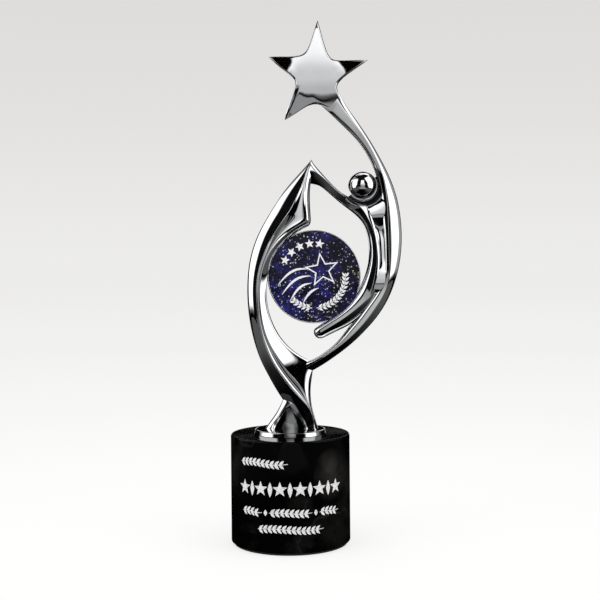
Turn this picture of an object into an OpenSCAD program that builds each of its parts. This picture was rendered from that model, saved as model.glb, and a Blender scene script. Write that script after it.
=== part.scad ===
// Column trophy: a round stone drum carries a bright flange disc, and on it stands a cast
// sculpture of a leaf-shaped sweep and a stylised figure that holds up a star. A round
// medallion sits between them. +Z is up, +X is to the right seen from the front, and the
// front faces -Y. The origin is the centre of the resting face.

/* [Base] */
// Diameter of the stone drum
drum_d = 65; // [60:1:80]
// Height of the stone drum without its pad
drum_h = 58.3; // [45:0.1:70]
// Polished chamfer on the drum's edges
drum_chamfer = 0.6; // [0.3:0.1:1.5]
// Thickness of the soft pad under the drum
pad_t = 1.2; // [0.8:0.1:2]
// Diameter of the soft pad
pad_d = 62; // [50:1:62]

/* [Flange disc] */
// Diameter of the disc that the feet stand on
disc_d = 39; // [36:0.5:44]
// Thickness of the disc
disc_t = 2.5; // [2:0.1:4]
// Rounding of the disc's upper edge
disc_round = 0.9; // [0.4:0.1:1.2]

/* [Medallion] */
// Outer diameter of the medallion holder
holder_d = 51; // [50:0.2:52]
// Thickness of the medallion holder
holder_t = 3.6; // [3:0.1:4.5]
// Width of the holder's rim
holder_rim = 0.6; // [0.4:0.1:1]
// Thickness of the printed insert
insert_t = 0.8; // [0.5:0.1:1]

/* [Head] */
// Diameter of the ball that is the figure's head
ball_d = 16; // [15.6:0.1:16.2]

/* [Star] */
// Thickness of the star at its middle
star_t = 7; // [5:0.5:8]
// Thickness of the star at its edge
star_edge_t = 1.2; // [0.8:0.2:1.6]

/* [Fasteners] */
// Nominal diameter of the threaded rod
rod_d = 6; // [5:1:8]

/* [Hidden] */

$fn = 96;

silver = [0.86, 0.87, 0.89];

// Levels of the stack, from the resting face up
drum_z = pad_t;
disc_z = drum_z + drum_h;
foot_z = disc_z + disc_t;

// Bore through the drum and the hardware that clamps it
bore_r = 5;
recess_r = 13;
recess_h = 13;
recess_z = drum_z + recess_h;
washer_r = 10;
washer_t = 1.6;
lock_r = 5.5;
lock_t = 1.6;
lock_slit = 1;
nut_flats = 10;
nut_t = 5;
rod_end = 2.5;

// Below the flange disc: a spigot that centres it in the bore, tapped for the rod
spigot_r = bore_r - 0.1;
spigot_h = 10;
tapped_h = 10.5;

// Tenons under the sculpture's feet
tenon_r = 1.8;
tenon_h = 2.4;
tenon_x = [-10.8, 11.3];

// Centre of the medallion, and the dowels that hold it in the castings
medal_x = 13.8;
medal_z = 145;
medal_pin_r = 0.8;
medal_pin_l = 6.5;
medal_pin_y = 0.65;
medal_pin_angles = [152, -58];
insert_recess = 0.5;

// Dowels of the head and of the star
head_pin_r = 1.2;
head_pin_l = 9;
star_pin_r = 1;
star_pin_from = [30.5, 236.6];
star_pin_to = [23, 247.4];

// Ball and the collar that holds it
ball_x = 41;
ball_c = 194.7;
collar_r = 12.6;
collar_half_t = 5.5;
collar_from = 218;
collar_sweep = 174;

// ---- curves: a guide is a list of [x, z, h], h being half the thickness there ----

function guide_pt(g, i) = i < 0 ? 2 * g[0] - g[1]
    : i > len(g) - 1 ? 2 * g[len(g) - 1] - g[len(g) - 2] : g[i];

// Guides are cubic B-splines; this is the curve's point beside the guide's point i
function knot(g, i) = (guide_pt(g, i - 1) + 4 * g[i] + guide_pt(g, i + 1)) / 6;

// A quarter of an ellipse from an edge point up to, but not including, a crest point
function rise(edge, crest, n) = [for (k = [0:n - 1]) let(a = 90 * k / n)
    [edge[0] + (crest[0] - edge[0]) * (1 - cos(a)),
     edge[1] + (crest[1] - edge[1]) * (1 - cos(a)),
     edge[2] + (crest[2] - edge[2]) * sin(a)]];

function reversed(list) = [for (k = [len(list) - 1:-1:0]) list[k]];

// Front and back of one section, made from the front half's [x, z, h] points
function ring(half) = concat([for (p = half) [p[0], -p[2], p[1]]],
                             [for (p = reversed(half)) [p[0], p[2], p[1]]]);

// A solid through rings of equal length; each end is closed between front and back
module loft(rings) {
    n = len(rings);
    m = len(rings[0]);
    walls = [for (i = [0:n - 2], j = [0:m - 1]) let(k = (j + 1) % m)
        each [[i * m + j, (i + 1) * m + j, (i + 1) * m + k], [i * m + j, (i + 1) * m + k, i * m + k]]];
    caps = [for (j = [0:m / 2 - 2]) let(b = m - 1 - j, e = (n - 1) * m)
        each [[j, j + 1, b], [j + 1, b - 1, b], [e + j, e + b, e + j + 1], [e + j + 1, e + b, e + b - 1]]];
    polyhedron(points = [for (r = rings) each r], faces = concat(walls, caps), convexity = 8);
}

// ---- left sweep: outer edge, ridge, rim and inner edge, from the foot to the apex ----

sweep_outer = [[7.8, 62], [5.8, 66.5], [2.3, 70.5], [-1.5, 74.5], [-5, 79.3], [-9, 86], [-12, 91.7],
    [-14.5, 96.5], [-16.7, 101.5], [-18.7, 107.5], [-20.7, 115], [-22.2, 124], [-23, 134],
    [-22.8, 144.5], [-21.6, 154], [-19, 163], [-16, 169.8], [-13, 175.2], [-10.8, 178.7],
    [-9.5, 181], [-7.5, 184], [-4, 189.5], [0, 194.8], [5, 200.3], [9.3, 205], [12.7, 208.8]];
sweep_ridge = [[13.2, 62], [12.7, 66.5], [12, 70.5], [9.8, 74.8], [5.5, 79.3], [1, 84], [-3, 89.3],
    [-6.5, 94.5], [-9.5, 99.5], [-12.7, 106.5], [-15.5, 114], [-17.2, 123.5], [-18, 134],
    [-17.5, 144], [-15.3, 153], [-12, 161], [-8, 168.3], [-4, 174], [-1.5, 177.8], [0.5, 180.5],
    [2.2, 183.2], [5, 189], [7.7, 195], [9.6, 201], [11, 205], [12.9, 208.9]];
sweep_rim = [[13.6, 62], [13.1, 66.5], [12.3, 70.5], [10.5, 75.3], [9.3, 79.5], [6.5, 84.8], [2.5, 89],
    [-1, 93.5], [-5, 99], [-9.2, 106], [-12.8, 113.3], [-15, 123], [-16, 134], [-15.5, 143.8],
    [-13.2, 152.5], [-9.5, 160], [-4.5, 166], [1.5, 170.8], [7.5, 174], [10.2, 175.8], [9.9, 179.5],
    [9.1, 187], [9, 194], [10.4, 201], [11.5, 205], [13.1, 208.9]];
sweep_inner = [[15.3, 62], [14, 66.5], [12.8, 70.5], [11.6, 76], [11.2, 81.5], [11.7, 88], [12.8, 93],
    [12.5, 98.5], [7.5, 100.6], [0, 105.7], [-6.5, 113.8], [-10.7, 123.5], [-12.3, 134],
    [-12, 143], [-9.7, 152], [-6.5, 158.3], [-1.8, 164], [4, 169], [9.5, 172], [12.5, 173.4],
    [12.2, 178], [11.7, 187], [12, 194.5], [13.3, 201.5], [13.5, 206], [13.3, 208.8]];

// Half the thickness at the ridge and at the rim, point by point
sweep_ridge_h = [5, 5.4, 5.8, 6.2, 6.4, 6.5, 6.5, 6.5, 6.5, 6.5, 6.5, 6.5, 6.5, 6.5, 6.5, 6.4, 6.2,
    6, 5.8, 5.6, 5.4, 5, 4.5, 3.8, 2.8, 1];
sweep_rim_h = [5, 5.4, 5.8, 6, 6, 6, 6, 6, 6, 6, 5.8, 5.6, 5.4, 5.4, 5.4, 5.4, 5.3, 5.2, 5, 5, 5,
    4.8, 4.4, 3.8, 2.8, 1];
// Depth of the groove between ridge and rim
sweep_groove = [0, 0, 0.2, 0.8, 1.4, 1.6, 1.6, 1.4, 1.2, 1.2, 1.2, 1.2, 1.2, 1.3, 1.6, 2, 2.4, 2.6,
    2.6, 2.6, 2.4, 2, 1.4, 0.8, 0.3, 0];
edge_h = 0.6;

function with_h(p, h) = [p[0], p[1], h];

function sweep_half(i) = let(
    o = with_h(knot(sweep_outer, i), edge_h), r = with_h(knot(sweep_ridge, i), sweep_ridge_h[i]),
    m = with_h(knot(sweep_rim, i), sweep_rim_h[i]), e = with_h(knot(sweep_inner, i), edge_h),
    g = (r + m) / 2 - [0, 0, (r + m)[2] / 2 - min(r[2], m[2]) + sweep_groove[i]])
    concat(rise(o, r, 5), [r, g, m], reversed(rise(e, m, 4)));

// Strut and web between the feet
strut_left = [[-13.3, 62], [-12, 64.3], [-9.5, 67.6], [-6.5, 72], [-4, 77], [-3, 80]];
strut_right = [[-8.3, 62], [-7.6, 64.3], [-5.5, 68], [-2.5, 72], [2, 75], [5, 77]];
strut_h = 3.6;
web_h = 1.6;
web = [[-9.5, 62], [9, 62], [8, 68], [3, 76], [-4, 75]];

function strut_half(i) = let(
    a = with_h(knot(strut_left, i), edge_h), b = with_h(knot(strut_right, i), edge_h),
    c = with_h((a + b) / 2, strut_h))
    concat(rise(a, c, 3), [c], reversed(rise(b, c, 3)));

module left_sweep() {
    color(silver) {
        difference() {
            union() {
                sweep_blade();
                loft([for (i = [0:len(strut_left) - 1]) ring(strut_half(i))]);
                translate([0, web_h, 0])
                    rotate([90, 0, 0])
                        linear_extrude(2 * web_h)
                            polygon(web);
            }
            medallion_seat();
            medallion_pins();
        }
        for (x = tenon_x)
            translate([x, 0, foot_z - tenon_h])
                cylinder(r = tenon_r, h = tenon_h);
    }
}

module sweep_blade() {
    loft([for (i = [0:len(sweep_outer) - 1]) ring(sweep_half(i))]);
}

// The round seat that the medallion holder stands in
module medallion_seat() {
    translate([medal_x, holder_t / 2, medal_z])
        rotate([90, 0, 0])
            cylinder(d = holder_d, h = holder_t);
}

// ---- right figure: the outer band from the star down to the foot of the long leg ----

outer_edge = [[24, 254], [27, 248], [31.8, 238.6], [36, 233], [40.3, 226.9], [45, 219.6], [49.3, 212.2],
    [53, 205], [56, 198.8], [58.7, 191], [60.3, 185], [61.7, 176], [62.2, 166], [61.5, 155],
    [59.3, 145], [56, 135.5], [52, 128], [47, 121], [40, 113.5], [33, 107], [25, 101.2],
    [17, 95.8], [9.5, 92]];
outer_crest = [[18, 250], [22.5, 244.5], [28.6, 236.7], [33, 230.8], [37.5, 224.7], [42.4, 217.7],
    [46.6, 210.4], [50, 203.6], [52, 198], [53.4, 191], [53.9, 185], [54.2, 176], [54.5, 166],
    [54.6, 155], [53.5, 146], [51, 136.5], [47, 128], [42, 121], [36, 114.5], [30, 109],
    [23, 104], [16, 99.3], [9, 95.5]];
outer_inner = [[12, 246], [17.5, 239.8], [24.5, 233.3], [29.8, 228], [35, 223], [40.2, 217], [44.3, 210.2],
    [47.6, 203.3], [49, 197.8], [49.8, 192], [50.8, 187], [51.6, 176], [52, 166], [52, 155],
    [50.5, 145], [46.5, 137], [41.5, 128], [36, 121], [31.3, 116], [27, 109.6], [20, 103.8],
    [14, 100], [9.5, 98.5]];
outer_h = [1.6, 2, 2.8, 3.4, 4, 4.4, 4.8, 5.2, 5.7, 6.2, 6.6, 7, 7.2, 7.2, 7, 6.8, 6.5, 6.2, 5.9, 5.5,
    5, 4.4, 2.8];

// The inner band: from the apex along the low arm, down the body, to the end of the short leg
inner_left = [[10.8, 196], [13.5, 195.8], [17.5, 195], [22, 190.9], [27, 186.4], [31.5, 182.8],
    [36, 179.4], [39.5, 175.8], [42, 171.3], [43.5, 166], [44.2, 160], [43.9, 154], [42.8, 148.5],
    [40.8, 143], [38, 137.3], [34, 131.3], [28.5, 126], [22, 121.7], [16.5, 118.3], [12.2, 115.6]];
inner_crest = [[11.5, 201.5], [14, 201], [19.2, 197.6], [24, 193], [29, 188.4], [34, 184.6], [39, 181.2],
    [43, 177.6], [46, 172.6], [47.5, 166.5], [48, 160], [47.6, 153.5], [46.3, 147.2], [44, 141],
    [41, 134.8], [36.7, 128.4], [30.8, 122.8], [24, 118.6], [18.3, 115.2], [14, 112.8]];
inner_right = [[11.8, 207.5], [14.3, 206.3], [20.6, 199.4], [25.6, 193.9], [30.5, 189.7], [36, 187.2],
    [42, 184], [46.5, 180.2], [49.5, 174.5], [51, 167.5], [51.6, 160], [51.2, 152.5], [49.5, 145.5],
    [47, 138.5], [44, 131.5], [39, 124], [33, 118.2], [25.8, 115], [20.2, 112.2], [15.8, 110.2]];
inner_h = [3.4, 3.6, 3.8, 4, 4.4, 5, 5.8, 6.6, 7, 7.2, 7.2, 7, 6.8, 6.6, 6.4, 6, 5.6, 5.2, 4.8, 4.4];

function band_half(a, c, b, h, i) = let(
    p = with_h(knot(a, i), edge_h), q = with_h(knot(c, i), h[i]), s = with_h(knot(b, i), edge_h))
    concat(rise(p, q, 4), [q], reversed(rise(s, q, 4)));

module band(a, c, b, h) {
    loft([for (i = [len(a) - 1:-1:0]) ring(band_half(a, c, b, h, i))]);
}

// Panel behind the chest recess, between the two bands
chest_h = 3;
chest = [[40, 182], [44, 177], [47.5, 171], [48.5, 160], [48, 150], [45, 140], [39, 129], [32.5, 119],
    [33.5, 117.5], [42, 124.5], [50, 136], [54, 148], [55, 160], [55, 176], [54, 188], [48, 184]];

module right_figure() {
    color(silver)
        difference() {
            union() {
                band(inner_left, inner_crest, inner_right, inner_h);
                band(outer_inner, outer_crest, outer_edge, outer_h);
                translate([0, chest_h, 0])
                    rotate([90, 0, 0])
                        linear_extrude(2 * chest_h)
                            polygon(chest);
                collar();
            }
            sweep_blade();
            star_body();
            medallion_seat();
            medallion_pins();
            ball();
            head_pin();
            star_pin();
        }
}

// The collar that cups the ball: a part of a dished ring about a front-to-back axis
module collar() {
    translate([ball_x, 0, ball_c])
        rotate([90, 0, 0])
            rotate_extrude(angle = collar_sweep, start = collar_from)
                polygon([[ball_d / 2 - 1.2, -2], [9.8, -2.6], [11.4, -collar_half_t],
                         [collar_r, -collar_half_t + 1], [collar_r, collar_half_t - 1],
                         [11.4, collar_half_t], [9.8, 2.6], [ball_d / 2 - 1.2, 2]]);
}

// ---- star ----

star_x = 14;
star_c = 253;
// One point of the star after another: tip, then the round inner corner after it
star_outline = [[16.9, 285.3], [18.4, 280], [20.2, 273], [22.3, 266.5], [24.8, 263.3], [30, 263.2],
    [37, 263.6], [44.2, 263.3], [40, 260.3], [33.6, 256], [28.5, 252], [26.8, 248.5], [28.5, 243.5],
    [30.5, 240.2], [26, 235.4], [20.5, 238.4], [15.5, 240], [10.5, 238.6], [5, 234.8], [-1.8, 230.8],
    [-0.4, 236.2], [1.6, 241.8], [3.6, 247], [4.9, 251.5], [3, 254.6], [-0.8, 257.3], [-5.5, 261],
    [-10, 265.5], [-5, 265.8], [3, 265.5], [8.6, 266.3], [11.5, 269.5], [13.9, 276.5], [15.8, 282.5]];
star_rings = 4;

// Half the thickness at the share s of the way from the middle to the edge
function star_h(s) = star_edge_t / 2 + (star_t - star_edge_t) / 2 * (1 - pow(s, 2.4));

module star_body() {
    n = len(star_outline);
    m = n * star_rings;
    c = [star_x, star_c];
    front = [for (k = [1:star_rings], p = star_outline) let(s = k / star_rings, q = c + (p - c) * s)
        [q[0], -star_h(s), q[1]]];
    back = [for (p = front) [p[0], -p[1], p[2]]];
    walls = [for (k = [0:star_rings - 2], j = [0:n - 1]) let(a = k * n + j, b = k * n + (j + 1) % n)
        each [[a, b + n, b], [a, a + n, b + n], [m + a, m + b, m + b + n], [m + a, m + b + n, m + a + n]]];
    rim = [for (j = [0:n - 1]) let(a = m - n + j, b = m - n + (j + 1) % n)
        each [[a, m + b, b], [a, m + a, m + b]]];
    middle = [for (j = [0:n - 1]) let(k = (j + 1) % n)
        each [[2 * m, j, k], [2 * m + 1, m + k, m + j]]];
    polyhedron(points = concat(front, back, [[c[0], -star_t / 2, c[1]], [c[0], star_t / 2, c[1]]]),
               faces = concat(walls, rim, middle), convexity = 6);
}

module star() {
    color(silver)
        difference() {
            star_body();
            star_pin();
        }
}

module star_pin() {
    run = star_pin_to - star_pin_from;
    color("gray")
        translate([star_pin_from[0], 0, star_pin_from[1]])
            rotate([0, atan2(run[0], run[1]), 0])
                cylinder(r = star_pin_r, h = norm(run));
}

// ---- head ----

module ball() {
    translate([ball_x, 0, ball_c])
        sphere(d = ball_d);
}

module head_ball() {
    color(silver)
        difference() {
            ball();
            head_pin();
        }
}

module head_pin() {
    color("gray")
        translate([ball_x, 0, ball_c - ball_d / 2 + 4.5 - head_pin_l])
            cylinder(r = head_pin_r, h = head_pin_l);
}

// ---- medallion ----

// Stands a shape made along +Z upright, so that its top faces the front at y = -front
module face_front(front) {
    translate([medal_x, -front, medal_z])
        rotate([90, 0, 0])
            children();
}

module medallion_holder() {
    floor_t = holder_t - insert_t - insert_recess;
    color(silver)
        difference() {
            face_front(-holder_t / 2)
                cylinder(d = holder_d, h = holder_t);
            face_front(floor_t - holder_t / 2)
                cylinder(d = holder_d - 2 * holder_rim, h = holder_t);
            medallion_pins();
        }
}

module medallion_insert() {
    color("midnightblue")
        face_front(holder_t / 2 - insert_recess - insert_t)
            cylinder(d = holder_d - 2 * holder_rim, h = insert_t);
}

module medallion_pins() {
    color("gray")
        for (a = medal_pin_angles)
            translate([medal_x, medal_pin_y, medal_z])
                rotate([0, 90 - a, 0])
                    translate([0, 0, holder_d / 2 - medal_pin_l / 2])
                        cylinder(r = medal_pin_r, h = medal_pin_l);
}

// ---- base ----

module stone_base() {
    r = drum_d / 2;
    k = drum_chamfer;
    color([0.05, 0.05, 0.055])
        translate([0, 0, drum_z])
            rotate_extrude()
                polygon([[recess_r, 0], [r - k, 0], [r, k], [r, drum_h - k], [r - k, drum_h],
                         [bore_r, drum_h], [bore_r, recess_h], [recess_r, recess_h]]);
}

module base_pad() {
    color([0.1, 0.1, 0.1])
        cylinder(d = pad_d, h = pad_t);
}

module flange_disc() {
    r = disc_d / 2;
    color(silver)
        difference() {
            translate([0, 0, disc_z])
                rotate_extrude()
                    union() {
                        square([r - disc_round, disc_t]);
                        square([r, disc_t - disc_round]);
                        translate([r - disc_round, disc_t - disc_round])
                            intersection() {
                                circle(disc_round);
                                square(disc_round);
                            }
                        translate([0, -spigot_h])
                            square([spigot_r, spigot_h]);
                    }
            translate([0, 0, disc_z - spigot_h])
                cylinder(d = rod_d, h = tapped_h);
            for (x = tenon_x)
                translate([x, 0, foot_z - tenon_h])
                    cylinder(r = tenon_r, h = tenon_h);
        }
}

module threaded_rod() {
    low = recess_z - washer_t - lock_t - nut_t - rod_end;
    color("silver")
        translate([0, 0, low])
            cylinder(d = rod_d, h = disc_z - spigot_h + tapped_h - low);
}

module washer(z, r, t, gap) {
    translate([0, 0, z])
        difference() {
            cylinder(r = r, h = t);
            cylinder(r = rod_d / 2 + gap, h = t);
        }
}

module flat_washer() {
    color("silver")
        washer(recess_z - washer_t, washer_r, washer_t, 0.2);
}

module lock_washer() {
    color("silver")
        difference() {
            washer(recess_z - washer_t - lock_t, lock_r, lock_t, 0.05);
            translate([0, -lock_slit / 2, recess_z - washer_t - lock_t])
                cube([lock_r, lock_slit, lock_t]);
        }
}

module hex_nut() {
    color("silver")
        translate([0, 0, recess_z - washer_t - lock_t - nut_t])
            difference() {
                cylinder(d = nut_flats / cos(30), h = nut_t, $fn = 6);
                cylinder(d = rod_d, h = nut_t);
            }
}

stone_base();
base_pad();
flange_disc();
threaded_rod();
flat_washer();
lock_washer();
hex_nut();
left_sweep();
right_figure();
star();
star_pin();
head_ball();
head_pin();
medallion_holder();
medallion_insert();
medallion_pins();
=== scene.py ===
import math

import bmesh
import bpy
import numpy as np
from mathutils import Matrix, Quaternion, Vector

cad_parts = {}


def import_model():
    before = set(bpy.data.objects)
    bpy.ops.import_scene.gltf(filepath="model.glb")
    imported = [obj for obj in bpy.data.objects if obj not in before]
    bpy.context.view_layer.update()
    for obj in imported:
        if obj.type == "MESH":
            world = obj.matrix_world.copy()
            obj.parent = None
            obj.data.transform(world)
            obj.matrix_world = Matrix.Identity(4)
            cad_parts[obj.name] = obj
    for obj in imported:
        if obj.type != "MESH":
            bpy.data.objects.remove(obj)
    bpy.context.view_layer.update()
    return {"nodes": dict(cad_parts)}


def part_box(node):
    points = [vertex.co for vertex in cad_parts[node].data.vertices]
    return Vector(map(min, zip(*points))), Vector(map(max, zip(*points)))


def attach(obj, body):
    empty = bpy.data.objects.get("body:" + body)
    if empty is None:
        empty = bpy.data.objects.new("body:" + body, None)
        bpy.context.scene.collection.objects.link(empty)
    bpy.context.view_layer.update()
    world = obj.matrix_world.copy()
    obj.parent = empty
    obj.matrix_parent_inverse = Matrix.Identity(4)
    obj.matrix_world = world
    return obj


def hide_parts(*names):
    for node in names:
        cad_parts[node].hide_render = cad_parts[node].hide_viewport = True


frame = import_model()

MM = 0.001
ROOT = "root"

# Places and radii, in mm: x is to the right and z is up.
BALL = (40.8, 194.8)
BALL_R = 7.8
MEDAL = (13.8, 145.0)
HOLDER_R = 25.5
# The middle of the shade painted under the arch of the feet.
ARCH_SHADE = (1.2, 65.5)
# The middle of the pale reflection painted on the drum's right side.
MARBLE_SHEEN_AT = (21.0, 41.0)


def add_object(name, data):
    obj = bpy.data.objects.new(name, data)
    bpy.context.scene.collection.objects.link(obj)
    return obj


# ---------- camera

CAMERA_AT = (0.0062, -0.632, 0.1569)
CAMERA_LENS = 69.15
CAMERA_ROLL = -0.48
WINDOW_SHIFT = -0.075


def make_camera():
    """Level camera in front, a little above the medallion; the window is shifted down."""
    data = bpy.data.cameras.new("camera")
    data.lens = CAMERA_LENS
    data.sensor_width = 36.0
    data.shift_y = WINDOW_SHIFT
    data.clip_start = 0.01
    cam = add_object("camera", data)
    cam.location = CAMERA_AT
    cam.rotation_mode = "QUATERNION"
    level_view = Quaternion((1, 0, 0), math.radians(90))
    cam.rotation_quaternion = level_view @ Quaternion((0, 0, 1), math.radians(CAMERA_ROLL))
    bpy.context.scene.camera = cam


make_camera()


# ---------- node helpers

class Finish:
    """A material's node tree, with short calls for the nodes the finishes share."""

    def __init__(self, name, **values):
        self.mat = bpy.data.materials.new(name)
        self.mat.use_nodes = True
        self.tree = self.mat.node_tree
        self.shader = self.tree.nodes["Principled BSDF"]
        self.coord = self.node("TexCoord").outputs["Object"]
        for key, value in values.items():
            self.shader.inputs[key.replace("_", " ")].default_value = value

    def node(self, kind):
        return self.tree.nodes.new("ShaderNode" + kind)

    def link(self, a, b):
        self.tree.links.new(a, b)

    def noise(self, scale, detail=3.0, rough=0.5, output="Fac"):
        n = self.node("TexNoise")
        n.inputs["Scale"].default_value = scale
        n.inputs["Detail"].default_value = detail
        n.inputs["Roughness"].default_value = rough
        self.link(self.coord, n.inputs["Vector"])
        return n.outputs[output]

    def cells(self, scale, output="Distance", feature="F1", vector=None):
        n = self.node("TexVoronoi")
        n.feature = feature
        n.inputs["Scale"].default_value = scale
        self.link(vector or self.coord, n.inputs["Vector"])
        return n.outputs[output]

    def vector_add(self, a, b, amount):
        n = self.node("VectorMath")
        n.operation = "MULTIPLY_ADD"
        self.link(a, n.inputs[0])
        n.inputs[1].default_value = (amount, amount, amount)
        self.link(b, n.inputs[2])
        return n.outputs[0]

    def ramp(self, value, *stops):
        n = self.node("ValToRGB")
        e = n.color_ramp.elements
        while len(e) < len(stops):
            e.new(0.5)
        for k, (at, colour) in enumerate(stops):
            e[k].position = at
            e[k].color = (*colour, 1)
        self.link(value, n.inputs["Fac"])
        return n.outputs["Color"]

    def span(self, value, low, high, to_low, to_high):
        n = self.node("MapRange")
        for key, x in (("From Min", low), ("From Max", high), ("To Min", to_low), ("To Max", to_high)):
            n.inputs[key].default_value = x
        self.link(value, n.inputs["Value"])
        return n.outputs["Result"]

    def math(self, kind, a, b):
        n = self.node("Math")
        n.operation = kind
        for socket, x in zip(n.inputs, (a, b)):
            if isinstance(x, (int, float)):
                socket.default_value = x
            else:
                self.link(x, socket)
        return n.outputs["Value"]

    def mix(self, factor, a, b, blend="MIX"):
        n = self.node("Mix")
        n.data_type = "RGBA"
        n.blend_type = blend
        for key, x in ((0, factor), (6, a), (7, b)):
            if isinstance(x, (int, float)):
                n.inputs[key].default_value = x
            elif isinstance(x, tuple):
                n.inputs[key].default_value = (*x, 1)
            else:
                self.link(x, n.inputs[key])
        return n.outputs[2]

    def axis(self, name):
        n = self.node("SeparateXYZ")
        self.link(self.coord, n.inputs[0])
        return n.outputs[name]

    def reach_squared(self, place, by_x, by_z):
        """The square of reach, with x and z scaled."""
        dx = self.math("MULTIPLY", self.math("ADD", self.axis("X"), -place[0] * MM), by_x)
        dz = self.math("MULTIPLY", self.math("ADD", self.axis("Z"), -place[1] * MM), by_z)
        return self.math("ADD", self.math("MULTIPLY", dx, dx), self.math("MULTIPLY", dz, dz))

    def reach(self, place, by_z=1.0):
        """How far a point is from the front-to-back axis at a place, with z scaled."""
        return self.math("POWER", self.reach_squared(place, 1.0, by_z), 0.5)

    def colour(self, value):
        self.link(value, self.shader.inputs["Base Color"])

    def roughness(self, value):
        self.link(value, self.shader.inputs["Roughness"])

    def bump(self, height, strength, distance):
        n = self.node("Bump")
        n.inputs["Strength"].default_value = strength
        n.inputs["Distance"].default_value = distance
        self.link(height, n.inputs["Height"])
        self.link(n.outputs["Normal"], self.shader.inputs["Normal"])


# ---------- finishes

def chrome_finish():
    """Bright plating, with shade painted nearly black into its colour in the cup round the ball and under
    the arch of the feet.
    """
    m = Finish("chrome", Metallic=1.0)
    haze = m.noise(90.0, 4.0, 0.6)
    bright = m.ramp(haze, (0.3, (0.83, 0.84, 0.86)), (0.7, (0.91, 0.915, 0.925)))
    # Painted shade: the cup round the ball and the arch between the feet are coloured nearly black.
    far = m.reach(BALL)
    cup = m.math("MULTIPLY", m.span(far, 0.0079, 0.0083, 0.0, 1.0), m.span(far, 0.0113, 0.0122, 0.93, 0.0))
    far = m.reach(ARCH_SHADE, by_z=0.62)
    arch = m.math("MULTIPLY", m.span(far, 0.0020, 0.0040, 0.35, 0.9), m.span(far, 0.0062, 0.0076, 1.0, 0.0))
    m.colour(m.mix(m.math("MAXIMUM", cup, arch), bright, (0.02, 0.02, 0.022)))
    m.roughness(m.span(haze, 0.3, 0.75, 0.015, 0.05))
    m.bump(m.noise(600.0, 2.0), 0.012, 0.0001)
    return m.mat


def steel_finish():
    """Dull zinc plate with small crystals."""
    m = Finish("zinc_steel", Metallic=1.0)
    grey = m.ramp(m.noise(200.0), (0.3, (0.42, 0.43, 0.45)), (0.7, (0.62, 0.63, 0.65)))
    m.colour(m.mix(0.12, grey, m.cells(900.0, "Color")))
    m.roughness(m.span(m.noise(400.0), 0.3, 0.7, 0.28, 0.45))
    m.bump(m.noise(1500.0), 0.15, 0.0001)
    return m.mat


def marble_finish():
    """Polished black stone with faint veins, a soft pale patch that is a painted reflection, and a few small
    chips.
    """
    m = Finish("black_marble", Specular_IOR_Level=0.12)
    warp = m.vector_add(m.noise(22.0, 3.0, 0.6, output="Color"), m.coord, 0.03)
    veins = m.ramp(m.cells(17.0, "Distance", "DISTANCE_TO_EDGE", warp),
                   (0.0, (1, 1, 1)), (0.009, (0, 0, 0)))
    gate = m.span(m.noise(30.0, 2.0), 0.52, 0.66, 0.0, 0.3)
    cloud = m.ramp(m.noise(28.0, 6.0, 0.68),
                   (0.5, (0.0008, 0.0008, 0.0009)), (0.78, (0.013, 0.0125, 0.0115)))
    # Painted reflection: a soft pale patch of light on the drum's right side.
    near = m.span(m.reach_squared(MARBLE_SHEEN_AT, 110.0, 70.0), 0.0, 1.0, 1.0, 0.0)
    mottle = m.span(m.noise(95.0, 5.0, 0.6), 0.35, 0.7, 0.15, 0.8)
    cloud = m.mix(m.math("MULTIPLY", near, mottle), cloud, (0.036, 0.033, 0.029))
    faint = m.mix(m.math("MULTIPLY", veins, gate), cloud, (0.05, 0.048, 0.045))
    chips = m.ramp(m.cells(320.0), (0.0, (1, 1, 1)), (0.09, (0, 0, 0)))
    sparse = m.span(m.noise(70.0, 2.0), 0.62, 0.7, 0.0, 0.35)
    m.colour(m.mix(m.math("MULTIPLY", chips, sparse), faint, (0.10, 0.098, 0.09)))
    m.roughness(m.span(m.noise(45.0, 4.0), 0.35, 0.7, 0.035, 0.09))
    m.bump(m.noise(500.0, 2.0), 0.01, 0.0001)
    return m.mat


def pad_finish():
    """Matt black foam."""
    m = Finish("pad", Roughness=0.95)
    m.colour(m.ramp(m.noise(2500.0), (0.3, (0.010, 0.010, 0.011)), (0.7, (0.028, 0.028, 0.03))))
    m.bump(m.cells(2200.0), 0.6, 0.0002)
    return m.mat


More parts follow.
